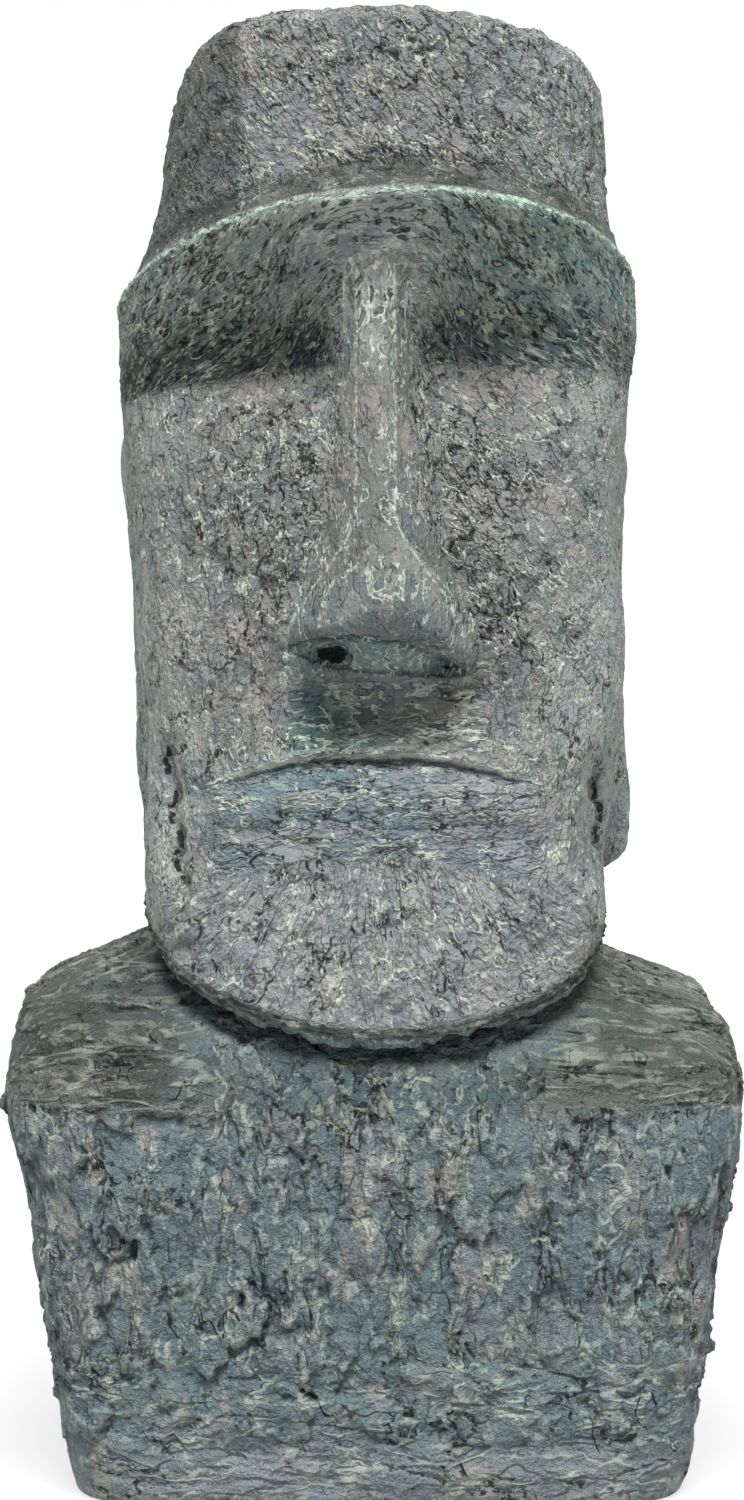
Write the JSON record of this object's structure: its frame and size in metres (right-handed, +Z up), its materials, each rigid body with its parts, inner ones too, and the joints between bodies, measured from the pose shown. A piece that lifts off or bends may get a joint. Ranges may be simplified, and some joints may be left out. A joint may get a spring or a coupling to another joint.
{
  "type": "moai stone head statue",
  "caption": "Upright garden statue of a long stone head with a deep brow, long nose and broad jaw, on a square block of shoulders.",
  "frame": {"origin": "middle of the flat foot, on the surface it stands on", "axes": "+Z up, -Y the way the face looks, +X the statue's own left"},
  "size_m": [0.3642, 0.285, 0.7113],
  "materials": {
    "painted_stone": "rough trowelled stone finish, slate grey wash, sage dry-brushed edges"
  },
  "bodies": {
    "root": {"statue": "painted_stone"}
  },
  "joints": []
}
